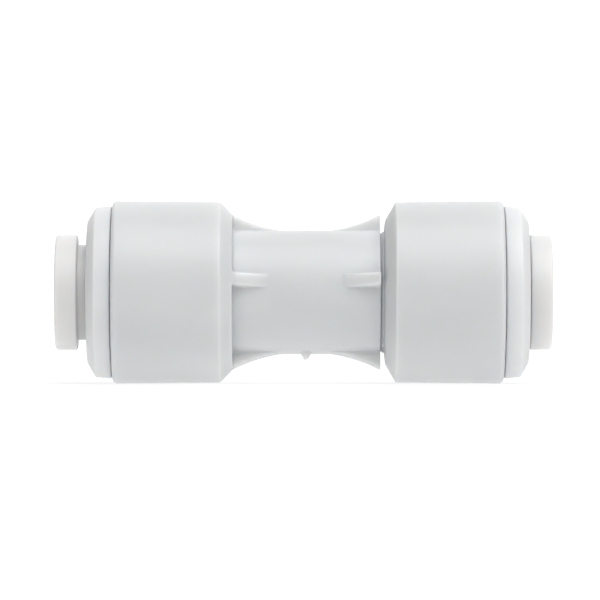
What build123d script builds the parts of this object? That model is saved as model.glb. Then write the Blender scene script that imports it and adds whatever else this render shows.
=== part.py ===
from build123d import *

import os

# Straight push-fit coupling that joins two 6.35 mm (1/4 inch) tubes end to end.
#
# Frame: the tube axis is X, +Z is up, and the origin is on the axis midway between the two cap faces.
# "Left" is -X and "right" is +X. Distances called *_at are measured from the origin along the axis,
# towards whichever end the piece belongs to, so that one function makes the piece for either end.
# All sizes are in millimetres and degrees.

LEFT, RIGHT = -1, 1
overcut = 1.0                # how far a cut runs on past what it cuts

# Tube and waterway
port_radius = 3.25           # seat for a tube of 3.175 mm radius
waterway_radius = 2.2
stop_at = 4.9                # shoulder that the tube's end butts against
seat_mouth_at = 8.0
seat_lead_in = 0.3
tube_clear_radius = 3.205    # seals and teeth stand just clear of a fitted tube

# Barrels: the two fat ends
barrel_front_at = 16.17
barrel_front_radius = 7.55   # moulding draft makes the open end a little fatter
barrel_back_radius = 7.47
barrel_front_fillet = 0.4

# Back of each barrel, as (place along the axis, radius) corners, from the waist outwards
left_back_face_at = 6.25
left_back = [(left_back_face_at, 6.43), (7.25, barrel_back_radius)]
hub_at, hub_radius = 6.11, 5.0   # the right barrel has a low hub, a fine groove from the waist's end
right_back = [(hub_at, hub_radius), (6.28, hub_radius), (6.38, 5.95), (7.24, barrel_back_radius)]

# Waist: the slim tube between the barrels, stiffened by four fins
waist_radius = 5.12
waist_end_x = 5.97
waist_mid_x = -0.17          # the fins' lowest point, and the gate
fin_arc_radius = 13.1
fin_low_radius = 4.98        # where a fin is lowest it is sunk in the waist
side_fin_low_radius = 4.75   # the front and back fins are a little lower than the other two
fin_thickness = 1.2
fin_reach = 7.0
fin_roll = 11.0              # how far the fins are turned about the axis, as the part lies
fin_left_x = -6.6            # fins start inside the left barrel
gate_base_radius, gate_tip_radius = 0.42, 0.2
gate_tip_at = 5.66           # gate vestige's end, from the axis

# Socket and spigot that join the two housings
socket_radius = 4.32
spigot_radius = 4.3
socket_floor_x = 1.2
spigot_lead_in = 0.25
collar_at, collar_radius = 5.99, 4.9   # low collar at the bottom of the groove beside the hub

# Bore of each barrel, from the seal outwards
seal_bore_radius = 4.9
washer_seat_at = 10.1
cap_bore_radius = 6.05

# Seal, squeezed to its working shape, and the washer that holds it in
seal_centre_at = 9.05
seal_half_length = 0.97
seal_outer_radius = 4.88
washer_inner_radius = 3.4
washer_outer_radius = 6.0
washer_thickness = 0.8
washer_edge = 0.1

# Cap: closes the barrel, and its cone closes the collet's fingers on the tube
cap_front_at = 18.22
cap_shoulder_at = 16.23      # leaves a fine seam in front of the barrel
cap_front_radius = 7.02
cap_shoulder_radius = 7.14
cap_chamfer_length = 0.66
cap_face_radius = 5.88
cap_edge_fillet = 0.15
cap_hole_radius = 4.12
cap_hole_lead_in = 0.18
cap_cone_start_at = 14.2
cap_cone_end_at = 12.2
cap_cone_radius = 4.95
cap_skirt_radius = 6.03
cap_skirt_end_at = washer_seat_at + washer_thickness + 0.02

# Collet: slides in the cap. Its places are measured from the back of its flange, outwards
collet_out_gap = 0.83        # flange to cap when the collet is drawn out
collet_in_gap = 0.10         # flange to cap when it is pressed in
flange_radius = 4.75
flange_thickness = 1.8
flange_fillet = 0.18
collet_neck_radius = 3.93
collet_mouth_radius = 3.72
collet_mouth_fillet = 0.12
mouth_lead_in = 0.55
taper_start = -4.585
taper_end = -6.56
finger_head_radius = 4.75
finger_end = -7.25
finger_end_chamfer = 0.15
finger_relief_radius = 3.6
relief_start, relief_end = -5.7, -6.05
finger_count = 6
slot_width = 0.8
slot_start = -2.6

# Steel tooth in each finger: a slanted plate, bent round the tube
tooth_root_radius = 4.15
tooth_root_u, tooth_tip_u = -5.75, -6.54
tooth_plate = 0.35           # measured along the axis
tooth_arc = 36.0

os.makedirs("parts", exist_ok=True)


def finish_part(part, name):
    """Labels a finished piece and writes it as its own node."""
    part.label = name
    export_step(part, f"parts/{name}.step")


def revolved(outline, mode=Mode.ADD):
    """Adds or cuts, in the part being built, the ring whose section is an outline of (x, radius) points."""
    with BuildSketch(Plane.XZ) as section:
        with BuildLine():
            Polyline(*outline, close=True)
        make_face()
    revolve(section.sketch, axis=Axis.X, mode=mode)


def edges_at(part, x, radius, slack=0.02):
    """The circular edges round the axis at that x and radius."""
    return [
        edge
        for edge in part.edges().filter_by(GeomType.CIRCLE)
        if abs(edge.radius - radius) < slack and abs(edge.arc_center.X - x) < slack
        and abs(edge.arc_center.Y) < slack and abs(edge.arc_center.Z) < slack
    ]


def bore_outline(side, inner_end_x):
    """Everything hollow in one barrel: waterway, tube seat, seal bore and cap bore."""
    return [
        (inner_end_x, 0),
        (inner_end_x, waterway_radius),
        (side * stop_at, waterway_radius),
        (side * stop_at, port_radius),
        (side * (seat_mouth_at - seat_lead_in), port_radius),
        (side * seat_mouth_at, port_radius + seat_lead_in),
        (side * seat_mouth_at, seal_bore_radius),
        (side * washer_seat_at, seal_bore_radius),
        (side * washer_seat_at, cap_bore_radius),
        (side * (barrel_front_at + overcut), cap_bore_radius),
        (side * (barrel_front_at + overcut), 0),
    ]


def barrel_outline(side, back):
    """Outside of one barrel, from the corners of its back to its open front face."""
    return [(side * at, radius) for at, radius in back] + [
        (side * barrel_front_at, barrel_front_radius),
        (side * barrel_front_at, 0),
    ]


# ---------------------------------------------------------------- main body: left barrel and waist

low_fin = Vector(0, 0, -1).rotate(Axis.X, -fin_roll)
front_fin = low_fin.rotate(Axis.X, -90)
# Each web's plate stands across one pair of fins: the front and back fins, then the top and low ones.
webs = ((low_fin, side_fin_low_radius), (front_fin, fin_low_radius))

with BuildPart() as main_body:
    revolved(
        [(waist_end_x, 0), (waist_end_x, waist_radius), (-left_back_face_at, waist_radius)]
        + barrel_outline(LEFT, left_back)
    )
    fillet(edges_at(main_body, -barrel_front_at, barrel_front_radius), barrel_front_fillet)
    # Two crossed webs make the four fins: each is a plate with a round bite out of either long side.
    for across, low_radius in webs:
        with BuildSketch(Plane(origin=(0, 0, 0), x_dir=(1, 0, 0), z_dir=across)):
            with Locations(((fin_left_x + waist_end_x) / 2, 0)):
                Rectangle(waist_end_x - fin_left_x, 2 * fin_reach)
            bite_at = low_radius + fin_arc_radius
            with Locations((waist_mid_x, bite_at), (waist_mid_x, -bite_at)):
                Circle(fin_arc_radius, mode=Mode.SUBTRACT)
        extrude(amount=fin_thickness / 2, both=True)
    # Gate vestige, snapped off where the low fin is sunk in the waist
    gate_height = gate_tip_at - fin_low_radius
    gate_foot = Vector(waist_mid_x, 0, 0) + low_fin * fin_low_radius
    with Locations(Plane(origin=gate_foot, z_dir=low_fin)):
        Cone(gate_base_radius, gate_tip_radius, gate_height, align=(Align.CENTER, Align.CENTER, Align.MIN))
    revolved(bore_outline(LEFT, waist_end_x + overcut), mode=Mode.SUBTRACT)
    revolved(
        [
            (socket_floor_x, 0),
            (socket_floor_x, socket_radius),
            (waist_end_x + overcut, socket_radius),
            (waist_end_x + overcut, 0),
        ],
        mode=Mode.SUBTRACT,
    )

finish_part(main_body.part, "main_body")

# ---------------------------------------------------------------- end housing: right barrel and spigot

with BuildPart() as end_housing:
    revolved(
        [
            (socket_floor_x, 0),
            (socket_floor_x, spigot_radius - spigot_lead_in),
            (socket_floor_x + spigot_lead_in, spigot_radius),
            (collar_at, spigot_radius),
            (collar_at, collar_radius),
            (hub_at, collar_radius),
        ]
        + barrel_outline(RIGHT, right_back)
    )
    fillet(edges_at(end_housing, barrel_front_at, barrel_front_radius), barrel_front_fillet)
    revolved(bore_outline(RIGHT, socket_floor_x - overcut), mode=Mode.SUBTRACT)

finish_part(end_housing.part, "end_housing")


# ---------------------------------------------------------------- the parts that both ends have


def make_seal(side):
    """O-ring, squashed a little longer than it is thick."""
    middle_radius = (tube_clear_radius + seal_outer_radius) / 2
    half_thickness = (seal_outer_radius - tube_clear_radius) / 2
    with BuildPart() as seal:
        with BuildSketch(Plane.XZ) as section:
            with Locations((side * seal_centre_at, middle_radius)):
                Ellipse(seal_half_length, half_thickness)
        revolve(section.sketch, axis=Axis.X)
    return seal.part


def make_washer(side):
    """Flat ring between the seal and the collet's fingers."""
    inner_x, outer_x = side * washer_seat_at, side * (washer_seat_at + washer_thickness)
    with BuildPart() as washer:
        revolved(
            [
                (inner_x, washer_inner_radius),
                (inner_x, washer_outer_radius),
                (outer_x, washer_outer_radius),
                (outer_x, washer_inner_radius),
            ]
        )
        chamfer(edges_at(washer, inner_x, washer_outer_radius), washer_edge)
        chamfer(edges_at(washer, outer_x, washer_inner_radius), washer_edge)
    return washer.part


def make_cap(side):
    """Cap with a chamfered head, a skirt that fills the barrel, and the cone for the collet."""
    front_x = side * cap_front_at
    edge_x = side * (cap_front_at - cap_chamfer_length)
    with BuildPart() as cap:
        revolved(
            [
                (front_x, cap_hole_radius + cap_hole_lead_in),
                (front_x, cap_face_radius),
                (edge_x, cap_front_radius),
                (side * cap_shoulder_at, cap_shoulder_radius),
                (side * cap_shoulder_at, cap_skirt_radius),
                (side * cap_skirt_end_at, cap_skirt_radius),
                (side * cap_skirt_end_at, cap_cone_radius),
                (side * cap_cone_end_at, cap_cone_radius),
                (side * cap_cone_start_at, cap_hole_radius),
                (side * (cap_front_at - cap_hole_lead_in), cap_hole_radius),
            ]
        )
        rim = edges_at(cap, front_x, cap_face_radius)
        rim += edges_at(cap, edge_x, cap_front_radius)
        rim += edges_at(cap, side * cap_shoulder_at, cap_shoulder_radius)
        fillet(rim, cap_edge_fillet)
    return cap.part


def finger_angle(finger):
    """Angle of a finger's middle about the axis."""
    return 360 / finger_count * finger


def sweep_tooth(side, flange_back_x, finger, mode=Mode.ADD):
    """Adds or cuts one tooth's plate, swept round the axis through its arc."""
    start = Vector(0, 0, 1).rotate(Axis.X, finger_angle(finger) - tooth_arc / 2)
    start_plane = Plane(origin=(flange_back_x, 0, 0), x_dir=(1, 0, 0), z_dir=Vector(1, 0, 0).cross(start))
    with BuildSketch(start_plane) as section:
        with BuildLine():
            Polyline(
                (side * tooth_root_u, tooth_root_radius),
                (side * (tooth_root_u - tooth_plate), tooth_root_radius),
                (side * (tooth_tip_u - tooth_plate), tube_clear_radius),
                (side * tooth_tip_u, tube_clear_radius),
                close=True,
            )
        make_face()
    revolve(section.sketch, axis=Axis.X, revolution_arc=tooth_arc, mode=mode)


def make_tooth(side, flange_back_x, finger):
    """One steel gripping tooth."""
    with BuildPart() as tooth:
        sweep_tooth(side, flange_back_x, finger)
    return tooth.part


def make_collet(side, flange_back_x):
    """Flanged sleeve whose inner half is split into springy fingers, each with a pocket for its tooth."""

    def at(u):
        return flange_back_x + side * u

    with BuildPart() as collet:
        revolved(
            [
                (at(flange_thickness), collet_mouth_radius),
                (at(flange_thickness), flange_radius),
                (at(0), flange_radius),
                (at(0), collet_neck_radius),
                (at(taper_start), collet_neck_radius),
                (at(taper_end), finger_head_radius),
                (at(finger_end + finger_end_chamfer), finger_head_radius),
                (at(finger_end), finger_head_radius - finger_end_chamfer),
                (at(finger_end), finger_relief_radius),
                (at(relief_end), finger_relief_radius),
                (at(relief_start), port_radius),
                (at(flange_thickness - mouth_lead_in), port_radius),
            ]
        )
        flange_edges = edges_at(collet, at(flange_thickness), flange_radius)
        flange_edges += edges_at(collet, at(0), flange_radius)
        fillet(flange_edges, flange_fillet)
        fillet(edges_at(collet, at(flange_thickness), collet_mouth_radius), collet_mouth_fillet)
        # Each cut goes right through, so it makes two opposite slots with round ends.
        half_pitch = 180 / finger_count
        for cut in range(finger_count // 2):
            radial = Vector(0, 0, 1).rotate(Axis.X, finger_angle(cut) + half_pitch)
            with BuildSketch(Plane(origin=(0, 0, 0), x_dir=(1, 0, 0), z_dir=radial)) as slot:
                slot_open_end = finger_end - overcut
                with Locations((at((slot_start + slot_open_end) / 2), 0)):
                    Rectangle(slot_start - slot_open_end, slot_width)
                with Locations((at(slot_start), 0)):
                    Circle(slot_width / 2)
            extrude(slot.sketch, amount=flange_radius + overcut, both=True, mode=Mode.SUBTRACT)
        for finger in range(finger_count):
            sweep_tooth(side, flange_back_x, finger, mode=Mode.SUBTRACT)
    return collet.part


for end_name, side, gap in (("left", LEFT, collet_out_gap), ("right", RIGHT, collet_in_gap)):
    flange_back_x = side * (cap_front_at + gap)
    finish_part(make_seal(side), f"{end_name}_o_ring")
    finish_part(make_washer(side), f"{end_name}_support_washer")
    finish_part(make_cap(side), f"{end_name}_cap")
    finish_part(make_collet(side, flange_back_x), f"{end_name}_collet")
    for finger in range(finger_count):
        finish_part(make_tooth(side, flange_back_x, finger), f"{end_name}_grip_tooth_{finger + 1}")
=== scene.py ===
import math

import bpy
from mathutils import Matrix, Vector


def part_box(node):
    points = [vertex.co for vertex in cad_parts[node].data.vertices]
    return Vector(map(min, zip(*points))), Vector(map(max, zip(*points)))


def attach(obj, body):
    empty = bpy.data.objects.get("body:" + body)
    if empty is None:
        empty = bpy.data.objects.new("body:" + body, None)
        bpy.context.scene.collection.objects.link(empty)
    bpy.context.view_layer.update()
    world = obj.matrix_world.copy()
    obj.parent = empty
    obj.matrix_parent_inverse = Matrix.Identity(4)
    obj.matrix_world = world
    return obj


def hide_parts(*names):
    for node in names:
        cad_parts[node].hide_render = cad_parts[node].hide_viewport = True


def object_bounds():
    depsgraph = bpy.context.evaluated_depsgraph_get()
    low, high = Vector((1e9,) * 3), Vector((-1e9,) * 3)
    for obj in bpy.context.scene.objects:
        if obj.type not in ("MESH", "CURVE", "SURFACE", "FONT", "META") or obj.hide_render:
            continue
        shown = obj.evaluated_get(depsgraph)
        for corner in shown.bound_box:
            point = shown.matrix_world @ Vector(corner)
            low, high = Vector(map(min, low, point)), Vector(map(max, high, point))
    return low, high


# A white push fit coupling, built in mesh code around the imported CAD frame.
#
# The tube axis is along X, +Z is up and the viewer is at -Y. Shapes are worked out in millimetres,
# mostly as outlines of (x, radius) points turned about X, and scaled to metres when a mesh is made.

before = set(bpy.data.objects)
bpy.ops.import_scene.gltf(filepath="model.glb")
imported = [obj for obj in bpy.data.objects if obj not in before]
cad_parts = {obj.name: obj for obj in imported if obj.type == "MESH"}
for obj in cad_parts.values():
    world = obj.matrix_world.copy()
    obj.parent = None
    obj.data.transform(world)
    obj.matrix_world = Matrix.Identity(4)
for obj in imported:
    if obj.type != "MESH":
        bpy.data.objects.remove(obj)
cad_low, cad_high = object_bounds()

MM = 0.001
LEFT, RIGHT = -1, 1
BODY = "coupling_body"


def reach(node):
    """The CAD node's inner end, outer end and radius, in mm, with both ends measured from the middle."""
    low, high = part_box(node)
    ends = sorted((abs(low.x) / MM, abs(high.x) / MM))
    return ends[0], ends[1], high.y / MM


# ------------------------------------------------------------------------------------ sizes, in mm

BARREL_FRONT = reach("main_body")[1]
WAIST_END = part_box("main_body")[1].x / MM
SOCKET_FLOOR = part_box("end_housing")[0].x / MM
CAP_SKIRT_END, CAP_FRONT, _ = reach("left_cap")
WASHER_IN, WASHER_OUT, WASHER_RADIUS = reach("left_support_washer")
SEAL_IN, SEAL_OUT, SEAL_RADIUS = reach("left_o_ring")

# Housings
BARREL_FRONT_RADIUS, BARREL_BACK_RADIUS = 7.55, 7.47
LEFT_BACK, LEFT_BACK_RADIUS, LEFT_CHAMFER = 6.25, 6.43, 1.0
RIGHT_BACK, RIGHT_BACK_RADIUS, RIGHT_CHAMFER = 6.38, 5.95, 0.86
HUB_AT, HUB_END, HUB_RADIUS = 6.11, 6.28, 5.0   # low hub on the right barrel's back
COLLAR_AT, COLLAR_RADIUS = 5.99, 4.9            # bottom of the groove between the hub and the waist
BORE_MIDDLE = 1.0   # where the left housing's rings start and end, from the washer's seat
CAP_BORE, SEAL_BORE, PORT, WATERWAY = 6.05, 4.9, 3.25, 2.2
SEAT_MOUTH, SEAT_LEAD_IN, STOP = 8.0, 0.3, 4.9
SOCKET_RADIUS, SPIGOT_RADIUS, SPIGOT_LEAD_IN = 4.32, 4.3, 0.25
WAIST_RADIUS, WAIST_MID, WAIST_EDGE = 5.12, -0.17, 0.08

# Fins, numbered in quarter turns from the low one. The side fins are a little lower than the other two.
LOW_FIN, FRONT_FIN, TOP_FIN, BACK_FIN = range(4)
FINS = (LOW_FIN, FRONT_FIN, TOP_FIN, BACK_FIN)
SIDE_FINS = (FRONT_FIN, BACK_FIN)
FIN_ROLL = math.radians(11)
FIN_ARC, FIN_LOW, SIDE_FIN_LOW = 13.1, 4.98, 4.75
FIN_HALF, FIN_DRAFT, FIN_ROOT, FIN_TIP = 0.58, 0.05, 0.28, 0.2
ROOT_SHARE, TIP_SHARE = 0.22, 0.15   # how much of a fin's height its root and its tip round off
FIN_FOOT = 0.06                      # how far up the back chamfer the fins reach
FIN_START = 0.25                     # where they are at full height, from the left barrel's back

# Moulding marks
PARTING_RIDGE = 0.012
GATE_BASE, GATE_TOP, GATE_HEIGHT = 0.44, 0.14, 0.55
TEAR_LEVEL, TEAR_SLANT, TEAR_RIPPLE, RIPPLES = 0.95, 0.35, 0.05, 31   # top of the torn gate

# Cap
CAP_SHOULDER, CAP_SHOULDER_RADIUS, CAP_FRONT_RADIUS = 16.23, 7.14, 7.02
CAP_CHAMFER, CAP_FACE_RADIUS, CAP_HOLE = 0.66, 5.88, 4.12
CAP_CONE_START, CAP_CONE_END, CAP_CONE_RADIUS, CAP_SKIRT_RADIUS = 14.2, 12.2, 4.95, 6.03

# Collet, along its own length from the back of its flange, outwards
FLANGE, FLANGE_RADIUS, NECK, MOUTH, MOUTH_LEAD_IN = 1.8, 4.75, 3.93, 3.72, 0.55
TAPER_START, TAPER_END, HEAD_RADIUS = -4.585, -6.56, 4.75
FINGER_END, HEAD_EDGE = -7.25, 0.15
RELIEF_START, RELIEF_END, RELIEF_RADIUS = -5.7, -6.05, 3.6
FINGERS, SLOT_START, SLOT_HALF, SLOT_LAND = 6, -2.6, 0.4, 0.2

# Places along a finger: its corners, and a few between them
FINGER_PLACES = [SLOT_START, -3.2, -3.8, -4.3, TAPER_START, -5.2, RELIEF_START, RELIEF_END, -6.3, TAPER_END]
FINGER_PLACES += [-6.85, FINGER_END + HEAD_EDGE, FINGER_END]

# Washer, seal and teeth
WASHER_HOLE = 3.4
CLEAR_RADIUS = 3.205   # the seal and the teeth stand just clear of a fitted tube
TOOTH_ROOT_RADIUS, TOOTH_PLATE, TOOTH_ARC = 4.15, 0.35, math.radians(36)
TOOTH_ROOT, TOOTH_TIP = -5.75, -6.54

# How finely meshes are divided, and from which angle on an edge is sharp
ARC_STEP = math.radians(15)
RING_COLUMNS, GAP_COLUMNS = 240, 36
SLOT_COLUMNS, FINGER_COLUMNS = 9, 27
RUN_STEP, WAIST_STEP, GATE_STEP = 0.6, 0.2, 0.05
SHARP_ANGLE = math.radians(40)


# ------------------------------------------------------------------------------------ materials


class Finish:
    """A Principled material and short ways to add nodes to it. Its coordinates are in millimetres."""

    def __init__(self, name, roughness, **sockets):
        self.material = bpy.data.materials.new(name)
        self.material.use_nodes = True
        self.nodes = self.material.node_tree.nodes
        self.links = self.material.node_tree.links
        self.shader = self.nodes["Principled BSDF"]
        self.shader.inputs["Roughness"].default_value = roughness
        for socket, value in sockets.items():
            self.shader.inputs[socket.replace("_", " ")].default_value = value
        place = self.nodes.new("ShaderNodeTexCoord")
        self.place = self.scaled(place.outputs["Object"], (1 / MM, 1 / MM, 1 / MM))

    def scaled(self, vector, scale):
        mapping = self.nodes.new("ShaderNodeMapping")
        mapping.inputs["Scale"].default_value = scale
        self.links.new(vector, mapping.inputs["Vector"])
        return mapping.outputs["Vector"]

    def noise(self, scale, detail=3.0, stretch=(1, 1, 1)):
        texture = self.nodes.new("ShaderNodeTexNoise")
        texture.inputs["Scale"].default_value = scale
        texture.inputs["Detail"].default_value = detail
        self.links.new(self.scaled(self.place, stretch), texture.inputs["Vector"])
        return texture.outputs["Fac"]

    def ramp(self, value, low, high, dark, light):
        """Maps value from low..high to the colours dark..light."""
        ramp = self.nodes.new("ShaderNodeValToRGB")
        ramp.color_ramp.elements[0].position = low
        ramp.color_ramp.elements[1].position = high
        ramp.color_ramp.elements[0].color = (*dark, 1)
        ramp.color_ramp.elements[1].color = (*light, 1)
        self.links.new(value, ramp.inputs["Fac"])
        return ramp.outputs["Color"]

    def span(self, value, low, high):
        """Maps 0..1 to low..high."""
        span = self.nodes.new("ShaderNodeMapRange")
        span.inputs["To Min"].default_value = low
        span.inputs["To Max"].default_value = high
        self.links.new(value, span.inputs["Value"])
        return span.outputs["Result"]

    def blend(self, mode, amount, first, second):
        mix = self.nodes.new("ShaderNodeMix")
        mix.data_type, mix.blend_type = "RGBA", mode
        mix.inputs["Factor"].default_value = amount
        self.links.new(first, mix.inputs["A"])
        self.links.new(second, mix.inputs["B"])
        return mix.outputs["Result"]

    def bump(self, *layers):
        """Stacks (height, depth in mm) layers into the shader's normal."""
        normal = None
        for height, depth in layers:
            bump = self.nodes.new("ShaderNodeBump")
            bump.inputs["Distance"].default_value = depth * MM
            self.links.new(height, bump.inputs["Height"])
            if normal:
                self.links.new(normal, bump.inputs["Normal"])
            normal = bump.outputs["Normal"]
        self.links.new(normal, self.shader.inputs["Normal"])

    def paint(self, colour, roughness):
        self.links.new(colour, self.shader.inputs["Base Color"])
        self.links.new(roughness, self.shader.inputs["Roughness"])


def moulded(name, dark, light, rough, grain):
    """White moulded plastic: flow clouds, specks, a spark-eroded grain, turning lines and slight waviness.

    The roughness stays above about 0.28 everywhere, because a surface that is smoother in places turns
    blotchy where a render is denoised.
    """
    finish = Finish(name, rough, Subsurface_Weight=1.0, Subsurface_Scale=1.6 * MM, IOR=1.49)
    finish.shader.inputs["Subsurface Radius"].default_value = (1.0, 0.9, 0.8)
    clouds = finish.ramp(finish.noise(0.22, 4.0, (0.5, 1, 1)), 0.3, 0.7, dark, light)
    specks = finish.ramp(finish.noise(5.0, 2.0), 0.26, 0.32, (0.93, 0.925, 0.915), (1.0, 1.0, 1.0))
    colour = finish.blend("MULTIPLY", 0.5, clouds, specks)
    finish.paint(colour, finish.span(finish.noise(1.3, 4.0), rough - 0.07, rough + 0.09))
    finish.bump(
        (finish.noise(9.0, 3.0), grain),
        (finish.noise(1.1, 2.0, (7, 0.4, 0.4)), grain * 0.9),
        (finish.noise(0.8, 2.0), grain * 3),
    )
    return finish.material


def rubber():
    """Black seal rubber with a faint bloom."""
    finish = Finish("seal_rubber", 0.5, IOR=1.5)
    bloom = finish.ramp(finish.noise(0.9, 4.0), 0.35, 0.7, (0.018, 0.018, 0.019), (0.045, 0.045, 0.044))
    finish.paint(bloom, finish.span(finish.noise(2.5, 3.0), 0.38, 0.62))
    finish.bump((finish.noise(14.0, 2.0), 0.004))
    return finish.material


def steel():
    """Rolled stainless sheet, unevenly bright, with rolling lines along the axis."""
    finish = Finish("tooth_steel", 0.35, Metallic=1.0)
    tone = finish.ramp(finish.noise(2.0, 3.0, (1, 6, 6)), 0.3, 0.7, (0.5, 0.5, 0.49), (0.72, 0.72, 0.71))
    finish.paint(tone, finish.span(finish.noise(3.0, 3.0, (1, 8, 8)), 0.29, 0.45))
    finish.bump((finish.noise(4.0, 2.0, (1, 9, 9)), 0.002))
    return finish.material


# Dark tone, light tone, roughness and grain depth of each plastic
PLASTICS = {
    "housing_plastic": ((0.622, 0.638, 0.643), (0.658, 0.672, 0.676), 0.38, 0.0016),
    "cap_plastic": ((0.7, 0.713, 0.718), (0.733, 0.746, 0.75), 0.37, 0.0014),
    "collet_plastic": ((0.672, 0.672, 0.67), (0.704, 0.704, 0.702), 0.36, 0.0009),
    "washer_plastic": ((0.66, 0.66, 0.63), (0.74, 0.74, 0.71), 0.42, 0.0018),
}
finishes = {slot: moulded(slot, *look) for slot, look in PLASTICS.items()}
finishes["seal_rubber"] = rubber()
finishes["tooth_steel"] = steel()


# ------------------------------------------------------------------------------------ mesh making


def piece(name, points, faces, body, slot, node):
    """A smooth-shaded mesh object that rides on a body and stands for a CAD node."""
    mesh = bpy.data.meshes.new(name)
    mesh.from_pydata([Vector(p) * MM for p in points], [], faces)
    if enclosed_volume(mesh) < 0:
        mesh.flip_normals()
    mesh.shade_smooth()
    mesh.set_sharp_from_angle(angle=SHARP_ANGLE)
    made = bpy.data.objects.new(name, mesh)
    bpy.context.scene.collection.objects.link(made)
    made.modifiers.new("weighted_normals", "WEIGHTED_NORMAL").keep_sharp = True
    made.data.materials.append(finishes[slot])
    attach(made, body)
    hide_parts(node)


def enclosed_volume(mesh):
    """Volume inside a closed mesh, negative when its faces look inwards."""
    total = 0.0
    for face in mesh.polygons:
        first, *others = [mesh.vertices[i].co for i in face.vertices]
        total += sum(first.dot(a.cross(b)) for a, b in zip(others, others[1:]))
    return total / 6


def rounded(corners, closed):
    """The outline through (x, radius, rounding) corners, each turned with an arc of its rounding."""
    outline = []
    for i, (x, radius, rounding) in enumerate(corners):
        here = Vector((x, radius))
        if rounding == 0 or (not closed and i in (0, len(corners) - 1)):
            outline.append(here)
            continue
        back = (Vector(corners[i - 1][:2]) - here).normalized()
        onward = (Vector(corners[(i + 1) % len(corners)][:2]) - here).normalized()
        turn = math.pi - back.angle(onward)
        centre = here + (back + onward).normalized() * rounding / math.cos(turn / 2)
        start = here + back * rounding * math.tan(turn / 2) - centre
        end = here + onward * rounding * math.tan(turn / 2) - centre
        steps = max(2, math.ceil(turn / ARC_STEP))
        for k in range(steps + 1):
            a, b = math.sin((1 - k / steps) * turn), math.sin(k / steps * turn)
            outline.append(centre + (start * a + end * b) / math.sin(turn))
    return outline


def outline_of(corners, closed=True):
    """Points of a rounded outline, with its long runs divided."""
    outline = rounded(corners, closed)
    ends = outline[1:] + outline[:1] if closed else outline[1:]
    points = []
    for here, after in zip(outline, ends):
        parts = max(1, math.ceil((after - here).length / RUN_STEP))
        points += [here.lerp(after, k / parts) for k in range(parts)]
    return points if closed else points + [outline[-1]]


def tube_faces(rings, columns):
    """Quads of a closed outline turned all the way round."""
    return [
        (
            k * columns + j,
            (k + 1) % rings * columns + j,
            (k + 1) % rings * columns + (j + 1) % columns,
            k * columns + (j + 1) % columns,
        )
        for k in range(rings)
        for j in range(columns)
    ]


def turned(x, radius, angle):
    """The point at that radius, at an angle about X that runs from -Z towards -Y."""
    return (x, -radius * math.sin(angle), -radius * math.cos(angle))


def lathe(name, outline, slot, node):
    """A closed outline turned about the axis, fixed to the coupling's body."""
    angles = [2 * math.pi * j / RING_COLUMNS for j in range(RING_COLUMNS)]
    points = [turned(p.x, p.y, angle) for p in outline for angle in angles]
    piece(name, points, tube_faces(len(outline), RING_COLUMNS), BODY, slot, node)


# ------------------------------------------------------------------------------------ housings


def fin_flank():
    """Half of a fin's cross-section: (distance from its middle plane, share of its height)."""
    arc_parts, wall_parts, top_parts = 5, 3, 10
    quarter = [k / arc_parts * math.pi / 2 for k in range(arc_parts + 1)]
    wall = FIN_HALF - FIN_DRAFT
    straight = 1 - ROOT_SHARE - TIP_SHARE
    flank = [(FIN_HALF + FIN_ROOT * (1 - math.sin(a)), ROOT_SHARE * (1 - math.cos(a))) for a in quarter]
    for k in range(1, wall_parts):
        flank.append((FIN_HALF - FIN_DRAFT * k / wall_parts, ROOT_SHARE + straight * k / wall_parts))
    flank += [(wall - FIN_TIP * (1 - math.cos(a)), 1 - TIP_SHARE * (1 - math.sin(a))) for a in quarter]
    flank += [((wall - FIN_TIP) * (1 - k / top_parts), 1.0) for k in range(1, top_parts)]
    return flank


def housing_columns():
    """Columns round a housing, as (fin number, turn from it, offset from its middle, share of its height).

    Columns between two fins have no offset and no share.
    """
    flank = fin_flank()
    across = [(-offset, share) for offset, share in flank] + [(0.0, 1.0)]
    across += [(offset, share) for offset, share in reversed(flank)]
    edge = math.asin(flank[0][0] / WAIST_RADIUS)
    gap = math.pi / 2 - 2 * edge
    columns = []
    for fin in FINS:
        columns += [(fin, math.asin(offset / WAIST_RADIUS), offset, share) for offset, share in across]
        columns += [(fin, edge + gap * k / GAP_COLUMNS, 0.0, 0.0) for k in range(1, GAP_COLUMNS)]
    return columns


COLUMNS = housing_columns()


def fin_radius(x, fin):
    """Radius of a fin's arched edge, which is sunk in the waist near its middle."""
    low = SIDE_FIN_LOW if fin in SIDE_FINS else FIN_LOW
    return max(WAIST_RADIUS, low + FIN_ARC - math.sqrt(FIN_ARC**2 - (x - WAIST_MID) ** 2))


def crests(x, inset=0.0):
    """The (x, radius) of every fin's edge at one place along the waist."""
    return [Vector((x, fin_radius(x, fin) - inset)) for fin in FINS]


def gate_rise(x, offset):
    """Height of the gate vestige above the waist: a small cone, broken off aslant."""
    distance = math.hypot(x - WAIST_MID, offset)
    slope = min(1.0, max(0.0, (GATE_BASE - distance) / (GATE_BASE - GATE_TOP)))
    torn = TEAR_LEVEL - TEAR_SLANT * (x - WAIST_MID) / GATE_BASE + TEAR_RIPPLE * math.sin(RIPPLES * offset)
    return GATE_HEIGHT * min(slope, max(0.0, torn))


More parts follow.
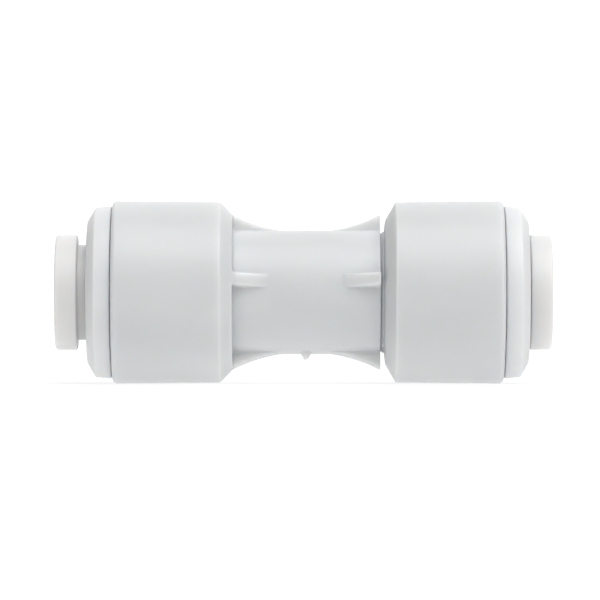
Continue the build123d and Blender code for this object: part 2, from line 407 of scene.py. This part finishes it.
def housing_ring(plain, edges=None, flat=0.0, narrow=1.0, marked=False):
    """One ring of a housing.

    plain is its (x, radius) between the fins, and edges holds the same for the four fins' edges. flat is 1
    where the fins' flanks are parallel and 0 on a plain circle. narrow thins the fins. A marked ring has
    moulding marks.
    """
    ring = []
    for fin, turn, offset, share in COLUMNS:
        crest = edges[fin] if edges else plain
        beside = plain.y * math.sin(turn)
        if share or offset:
            beside += flat * (offset * narrow - beside)
            up = math.sqrt(plain.y**2 - beside**2)
        else:
            up = plain.y * math.cos(turn)
        x = plain.x + share * (crest.x - plain.x)
        up += share * (crest.y - plain.y)
        if marked and flat and fin == LOW_FIN:
            up += gate_rise(x, beside)
        if marked and fin in (LOW_FIN, TOP_FIN) and share and not offset:
            up += PARTING_RIDGE
        roll = FIN_ROLL + fin * math.pi / 2
        y = -up * math.sin(roll) - beside * math.cos(roll)
        z = -up * math.cos(roll) + beside * math.sin(roll)
        ring.append((x, y, z))
    return ring


def housing(node, rings):
    """A housing from its rings."""
    points = [p for ring in rings for p in ring]
    faces = tube_faces(len(rings), len(COLUMNS))
    piece(f"{node}_shell", points, faces, BODY, "housing_plastic", node)


def bore_corners(side):
    """Inside of one barrel, from the waterway out to the cap's bore."""
    return [
        (side * STOP, WATERWAY, 0.05),
        (side * STOP, PORT, 0.08),
        (side * (SEAT_MOUTH - SEAT_LEAD_IN), PORT, 0.1),
        (side * SEAT_MOUTH, PORT + SEAT_LEAD_IN, 0.05),
        (side * SEAT_MOUTH, SEAL_BORE, 0.1),
        (side * WASHER_IN, SEAL_BORE, 0.05),
        (side * WASHER_IN, CAP_BORE, 0.05),
    ]


def barrel_corners(side, chamfer_end):
    """Outside of one barrel, from its open mouth to its back chamfer."""
    return [
        (side * BARREL_FRONT, CAP_BORE, 0.06),
        (side * BARREL_FRONT, BARREL_FRONT_RADIUS, 0.4),
        (side * chamfer_end, BARREL_BACK_RADIUS, 0.12),
    ]


def waist_stations(start, end):
    """Places along the waist, closer together round the gate."""
    places, x = [], start
    near_gate = 1.3 * GATE_BASE
    while x < end - GATE_STEP:
        places.append(x)
        x += GATE_STEP if abs(x - WAIST_MID) < near_gate else WAIST_STEP
    return places + [end]


def main_body():
    """Left barrel and finned waist, moulded in one."""
    mid_bore = (LEFT * (WASHER_IN + BORE_MIDDLE), CAP_BORE, 0)
    chamfer_slope = LEFT_CHAMFER / (BARREL_BACK_RADIUS - LEFT_BACK_RADIUS)
    foot = Vector((-LEFT_BACK - FIN_FOOT * chamfer_slope, LEFT_BACK_RADIUS + FIN_FOOT))
    fin_start = -LEFT_BACK + FIN_START

    barrel = [mid_bore, *barrel_corners(LEFT, LEFT_BACK + LEFT_CHAMFER), (*foot, 0)]
    rings = [housing_ring(p, marked=True) for p in outline_of(barrel, closed=False)]
    back = [
        (*foot, 0),
        (-LEFT_BACK, LEFT_BACK_RADIUS, 0.04),
        (-LEFT_BACK, WAIST_RADIUS, 0.18),
        (fin_start, WAIST_RADIUS, 0),
    ]
    back = outline_of(back, closed=False)[1:]
    for k, plain in enumerate(back, start=1):
        share = k / len(back)
        edges = [foot.lerp(crest, share) for crest in crests(fin_start)]
        rings.append(housing_ring(plain, edges, share, marked=True))
    for x in waist_stations(fin_start, WAIST_END - WAIST_EDGE)[1:]:
        rings.append(housing_ring(Vector((x, WAIST_RADIUS)), crests(x), 1.0, marked=True))
    edge_steps = 4
    for k in range(1, edge_steps + 1):
        angle = k / edge_steps * math.pi / 2
        inset = WAIST_EDGE * (1 - math.cos(angle))
        x = WAIST_END - WAIST_EDGE * (1 - math.sin(angle))
        plain = Vector((x, WAIST_RADIUS - inset))
        rings.append(housing_ring(plain, crests(x, inset), 1.0, 1 - inset / FIN_HALF))
    inside = [
        (WAIST_END, SOCKET_RADIUS + WAIST_EDGE, 0),
        (WAIST_END - WAIST_EDGE, SOCKET_RADIUS, 0),
        (SOCKET_FLOOR, SOCKET_RADIUS, 0.05),
        (SOCKET_FLOOR, WATERWAY, 0.05),
        *bore_corners(LEFT),
        mid_bore,
    ]
    rings += [housing_ring(p) for p in outline_of(inside, closed=False)[:-1]]
    housing("main_body", rings)


def end_housing():
    """Right barrel and the spigot that goes into the waist."""
    spigot = [
        (SOCKET_FLOOR, WATERWAY, 0.05),
        (SOCKET_FLOOR, SPIGOT_RADIUS - SPIGOT_LEAD_IN, 0.05),
        (SOCKET_FLOOR + SPIGOT_LEAD_IN, SPIGOT_RADIUS, 0.08),
        (COLLAR_AT, SPIGOT_RADIUS, 0.04),
        (COLLAR_AT, COLLAR_RADIUS, 0.02),
        (HUB_AT, COLLAR_RADIUS, 0.03),
        (HUB_AT, HUB_RADIUS, 0.05),
        (HUB_END, HUB_RADIUS, 0.04),
        (RIGHT_BACK, RIGHT_BACK_RADIUS, 0.8),
    ]
    corners = spigot + barrel_corners(RIGHT, RIGHT_BACK + RIGHT_CHAMFER)[::-1] + bore_corners(RIGHT)[::-1]
    outside = CAP_BORE + 0.1   # beyond this radius a ring is on the barrel, where the parting line shows
    rings = [housing_ring(p, marked=p.y > outside) for p in outline_of(corners)]
    housing("end_housing", rings)


# ------------------------------------------------------------------------------------ caps, washers, seals


def cap(end, side):
    """Cap: chamfered head, skirt inside the barrel, and the cone that closes the collet's fingers."""
    corners = [
        (CAP_FRONT, CAP_HOLE, 0.16),
        (CAP_FRONT, CAP_FACE_RADIUS, 0.14),
        (CAP_FRONT - CAP_CHAMFER, CAP_FRONT_RADIUS, 0.14),
        (CAP_SHOULDER, CAP_SHOULDER_RADIUS, 0.14),
        (CAP_SHOULDER, CAP_SKIRT_RADIUS, 0.06),
        (CAP_SKIRT_END, CAP_SKIRT_RADIUS, 0.1),
        (CAP_SKIRT_END, CAP_CONE_RADIUS, 0.08),
        (CAP_CONE_END, CAP_CONE_RADIUS, 0.2),
        (CAP_CONE_START, CAP_HOLE, 0.2),
    ]
    corners = [(side * x, radius, rounding) for x, radius, rounding in corners]
    lathe(f"{end}_cap_ring", outline_of(corners), "cap_plastic", f"{end}_cap")


def washer(end, side):
    """Flat support washer with softened edges."""
    corners = [
        (WASHER_IN, WASHER_HOLE, 0.06),
        (WASHER_IN, WASHER_RADIUS, 0.12),
        (WASHER_OUT, WASHER_RADIUS, 0.06),
        (WASHER_OUT, WASHER_HOLE, 0.12),
    ]
    corners = [(side * x, radius, rounding) for x, radius, rounding in corners]
    name = f"{end}_support_washer"
    lathe(f"{name}_ring", outline_of(corners), "washer_plastic", name)


def o_ring(end, side):
    """Seal, squashed between tube and bore, with the fine flash line of its mould on either side."""
    flash, flash_width, steps = 0.012, 0.12, 72
    middle, half = (SEAL_IN + SEAL_OUT) / 2, (SEAL_OUT - SEAL_IN) / 2
    centre = (SEAL_RADIUS + CLEAR_RADIUS) / 2
    thick = (SEAL_RADIUS - CLEAR_RADIUS) / 2
    outline = []
    for k in range(steps):
        angle = 2 * math.pi * k / steps
        swell = 1 - flash + flash * math.exp(-((math.sin(angle) / flash_width) ** 2))
        along = middle + half * swell * math.cos(angle)
        outline.append(Vector((side * along, centre + thick * math.sin(angle))))
    lathe(f"{end}_seal_ring", outline, "seal_rubber", f"{end}_o_ring")


# ------------------------------------------------------------------------------------ collets and teeth


def collet_outer(u):
    """Outside radius of the sleeve and its fingers, at u along the collet."""
    if u >= TAPER_START:
        return NECK
    if u >= TAPER_END:
        return NECK + (HEAD_RADIUS - NECK) * (TAPER_START - u) / (TAPER_START - TAPER_END)
    return HEAD_RADIUS - max(0.0, FINGER_END + HEAD_EDGE - u)


def collet_inner(u):
    """Inside radius of the fingers, at u along the collet."""
    if u >= RELIEF_START:
        return PORT
    share = (RELIEF_START - u) / (RELIEF_START - RELIEF_END)
    return min(RELIEF_RADIUS, PORT + (RELIEF_RADIUS - PORT) * share)


def collet_rows():
    """The collet's closed outline as (u, radius) rows: out along its bore, round the flange and back."""
    sleeve_end = SLOT_START + SLOT_HALF + SLOT_LAND
    flanged = [
        (sleeve_end, PORT, 0),
        (FLANGE - MOUTH_LEAD_IN, PORT, 0.3),
        (FLANGE, MOUTH, 0.12),
        (FLANGE, FLANGE_RADIUS, 0.18),
        (0, FLANGE_RADIUS, 0.18),
        (0, NECK, 0.12),
        (sleeve_end, NECK, 0),
    ]
    rows = [(u, collet_inner(u)) for u in reversed(FINGER_PLACES)]
    rows += [tuple(p) for p in outline_of(flanged, closed=False)]
    rows += [(u, collet_outer(u)) for u in FINGER_PLACES]
    return rows


def collet_ring(radius, at_slot_end):
    """(angle, rise) round the collet at a radius: slot and finger in turn.

    The rise is how far a slot's round end reaches along the collet, and is 0 in every other row.
    """
    pitch = 2 * math.pi / FINGERS
    edge = math.asin(SLOT_HALF / radius)
    ring = []
    for slot in range(FINGERS):
        middle = (slot + 0.5) * pitch
        for k in range(SLOT_COLUMNS):
            share, rise = 2 * k / (SLOT_COLUMNS - 1) - 1, 0.0
            if at_slot_end:
                bend = math.pi / 2 * share
                share, rise = math.sin(bend), SLOT_HALF * math.cos(bend)
            ring.append((middle + math.asin(SLOT_HALF * share / radius), rise))
        for k in range(1, FINGER_COLUMNS + 1):
            ring.append((middle + edge + (pitch - 2 * edge) * k / (FINGER_COLUMNS + 1), 0.0))
    return ring


def collet_faces(rows, first_closed, last_closed):
    """Quads of a collet. Only the rows from first_closed to last_closed run on across the slots."""
    period = SLOT_COLUMNS + FINGER_COLUMNS
    columns = FINGERS * period

    def quad(row_a, row_b, j):
        after = (j + 1) % columns
        return (row_a * columns + j, row_b * columns + j, row_b * columns + after, row_a * columns + after)

    faces = []
    for j in range(columns):
        across_slot = j % period < SLOT_COLUMNS - 1
        first, last = (first_closed, last_closed) if across_slot else (0, rows - 1)
        faces += [quad(row, row + 1, j) for row in range(first, last)]
        faces.append(quad(last, first, j))
    for near in range(0, columns, period):
        far = near + SLOT_COLUMNS - 1
        for inner, outer in zip(range(first_closed, 0, -1), range(last_closed, rows - 1)):
            wall = (inner, inner - 1, outer + 1, outer)
            faces.append(tuple(row * columns + near for row in reversed(wall)))
            faces.append(tuple(row * columns + far for row in wall))
    return faces


def collet(end, side):
    """Flanged sleeve whose inner half is split into springy fingers. Its body and CAD node share a name."""
    name = f"{end}_collet"
    flange_back = reach(name)[1] - FLANGE
    rows = collet_rows()
    slot_ends = (len(FINGER_PLACES) - 1, len(rows) - len(FINGER_PLACES))
    points = []
    for row, (u, radius) in enumerate(rows):
        for angle, rise in collet_ring(radius, row in slot_ends):
            points.append(turned(side * (flange_back + u + rise), radius, angle))
    points, faces = without_loose(points, collet_faces(len(rows), *slot_ends))
    piece(f"{name}_sleeve", points, faces, name, "collet_plastic", name)


def without_loose(points, faces):
    """The same mesh without the points that no face uses."""
    used = sorted({i for face in faces for i in face})
    place = {old: new for new, old in enumerate(used)}
    return [points[i] for i in used], [tuple(place[i] for i in face) for face in faces]


def tooth(end, side, finger):
    """One steel tooth: a slanted plate bent round the tube, its edges eased."""
    holder = f"{end}_collet"
    flange_back = reach(holder)[1] - FLANGE
    corners = [
        (TOOTH_ROOT, TOOTH_ROOT_RADIUS, 0.05),
        (TOOTH_ROOT - TOOTH_PLATE, TOOTH_ROOT_RADIUS, 0.05),
        (TOOTH_TIP - TOOTH_PLATE, CLEAR_RADIUS, 0.03),
        (TOOTH_TIP, CLEAR_RADIUS, 0.02),
    ]
    outline = outline_of([(side * (flange_back + u), radius, r) for u, radius, r in corners])
    centre = sum(outline, Vector((0, 0))) / len(outline)
    start = math.pi + math.radians(360 / FINGERS) * finger - TOOTH_ARC / 2
    # Stations round the tooth as (turn, size), smaller at its two ends
    ease, steps = math.radians(0.5), 24
    stations = [(0.0, 0.88), (ease * 0.4, 0.96)]
    stations += [(ease + (TOOTH_ARC - 2 * ease) * k / steps, 1.0) for k in range(steps + 1)]
    stations += [(TOOTH_ARC - ease * 0.4, 0.96), (TOOTH_ARC, 0.88)]
    points = []
    for turn, size in stations:
        for p in outline:
            eased = centre.lerp(p, size)
            points.append(turned(eased.x, eased.y, start + turn))
    around = len(outline)
    last = (len(stations) - 1) * around
    faces = []
    for near in range(0, last, around):
        far = near + around
        for j in range(around):
            after = (j + 1) % around
            faces.append((near + j, near + after, far + after, far + j))
    faces += [tuple(reversed(range(around))), tuple(range(last, last + around))]
    name = f"{end}_grip_tooth_{finger + 1}"
    piece(f"{name}_plate", points, faces, holder, "tooth_steel", name)


main_body()
end_housing()
for end, side in (("left", LEFT), ("right", RIGHT)):
    cap(end, side)
    washer(end, side)
    o_ring(end, side)
    collet(end, side)
    for finger in range(FINGERS):
        tooth(end, side, finger)


# ------------------------------------------------------------------------------------ stage, light, camera


def floor(middle_glow, edge_glow):
    """Wide pale light table, which glows a little more towards its edge, where the key light is weaker."""
    half, clearance = 1.5, 0.02 * MM
    ground = cad_low.z - clearance
    mesh = bpy.data.meshes.new("studio_floor")
    corners = [(-half, -half, ground), (half, -half, ground), (half, half, ground), (-half, half, ground)]
    mesh.from_pydata(corners, [], [(0, 1, 2, 3)])
    made = bpy.data.objects.new("studio_floor", mesh)
    bpy.context.scene.collection.objects.link(made)
    material = bpy.data.materials.new("studio_floor")
    material.use_nodes = True
    nodes, links = material.node_tree.nodes, material.node_tree.links
    shader = nodes["Principled BSDF"]
    shader.inputs["Base Color"].default_value = (0.35, 0.35, 0.35, 1)
    shader.inputs["Roughness"].default_value = 1.0
    shader.inputs["Specular IOR Level"].default_value = 0.0
    shader.inputs["Emission Color"].default_value = (1, 1, 1, 1)
    distance = nodes.new("ShaderNodeVectorMath")
    distance.operation = "LENGTH"
    links.new(nodes.new("ShaderNodeTexCoord").outputs["Object"], distance.inputs[0])
    glow = nodes.new("ShaderNodeMapRange")
    glow.inputs["From Max"].default_value = half
    glow.inputs["To Min"].default_value, glow.inputs["To Max"].default_value = middle_glow, edge_glow
    links.new(distance.outputs["Value"], glow.inputs["Value"])
    links.new(glow.outputs["Result"], shader.inputs["Emission Strength"])
    mesh.materials.append(material)


def softbox(name, azimuth, elevation, distance, radius, radiance):
    """A round soft light that faces the coupling from a direction, in degrees."""
    lamp = bpy.data.lights.new(name, "AREA")
    lamp.shape, lamp.size = "DISK", 2 * radius
    area = math.pi * radius**2
    lamp.energy = radiance * math.pi * area
    across, up = math.radians(azimuth), math.radians(elevation)
    place = Vector((math.cos(up) * math.cos(across), math.cos(up) * math.sin(across), math.sin(up)))
    made = bpy.data.objects.new(name, lamp)
    made.location = place * distance
    made.rotation_mode = "QUATERNION"
    made.rotation_quaternion = place.to_track_quat("Z", "Y")
    bpy.context.scene.collection.objects.link(made)


def surroundings(room, sides, wall):
    """World light: an even room that is darker by sides at the left and right, and a bright wall behind."""
    world = bpy.data.worlds.new("studio")
    world.use_nodes = True
    nodes, links = world.node_tree.nodes, world.node_tree.links
    nodes["Background"].inputs["Color"].default_value = (1, 1, 1, 1)
    direction = nodes.new("ShaderNodeTexCoord").outputs["Generated"]

    def glow(axis, start, end, strength):
        """Strength that fades in towards an axis, between two cosines of the angle to it."""
        dot = nodes.new("ShaderNodeVectorMath")
        dot.operation = "DOT_PRODUCT"
        dot.inputs[1].default_value = axis
        links.new(direction, dot.inputs[0])
        span = nodes.new("ShaderNodeMapRange")
        span.interpolation_type = "SMOOTHSTEP"
        span.inputs["From Min"].default_value, span.inputs["From Max"].default_value = start, end
        span.inputs["To Min"].default_value, span.inputs["To Max"].default_value = 0.0, strength
        links.new(dot.outputs["Value"], span.inputs["Value"])
        return span.outputs["Result"]

    level = nodes.new("ShaderNodeValue")
    level.outputs["Value"].default_value = room
    strength = level.outputs["Value"]
    behind = glow((0, 1, 0), 0.2, 0.55, wall)
    left = glow((-1, 0, 0), 0.2, 0.7, -sides)
    right = glow((1, 0, 0), 0.2, 0.7, -sides)
    for part in (behind, left, right):
        add = nodes.new("ShaderNodeMath")
        links.new(strength, add.inputs[0])
        links.new(part, add.inputs[1])
        strength = add.outputs["Value"]
    links.new(strength, nodes["Background"].inputs["Strength"])
    bpy.context.scene.world = world


def camera():
    """Level with the axis, square to it, at about half a metre."""
    distance, view_width = 0.45, 0.0497
    aim_x, aim_z = -0.00066, -0.00063
    data = bpy.data.cameras.new("camera")
    data.sensor_width = 36.0
    data.lens = data.sensor_width * distance / view_width
    data.clip_start, data.clip_end = 0.01, 20.0
    made = bpy.data.objects.new("camera", data)
    made.location = (aim_x, -distance, aim_z)
    made.rotation_euler = (math.pi / 2, 0, 0)
    bpy.context.scene.collection.objects.link(made)
    bpy.context.scene.camera = made


floor(middle_glow=0.71, edge_glow=0.86)
surroundings(room=0.71, sides=0.68, wall=0.5)
softbox("key", azimuth=-52, elevation=60, distance=3.0, radius=1.73, radiance=2.71)
camera()
bpy.context.scene.view_settings.view_transform = "Standard"
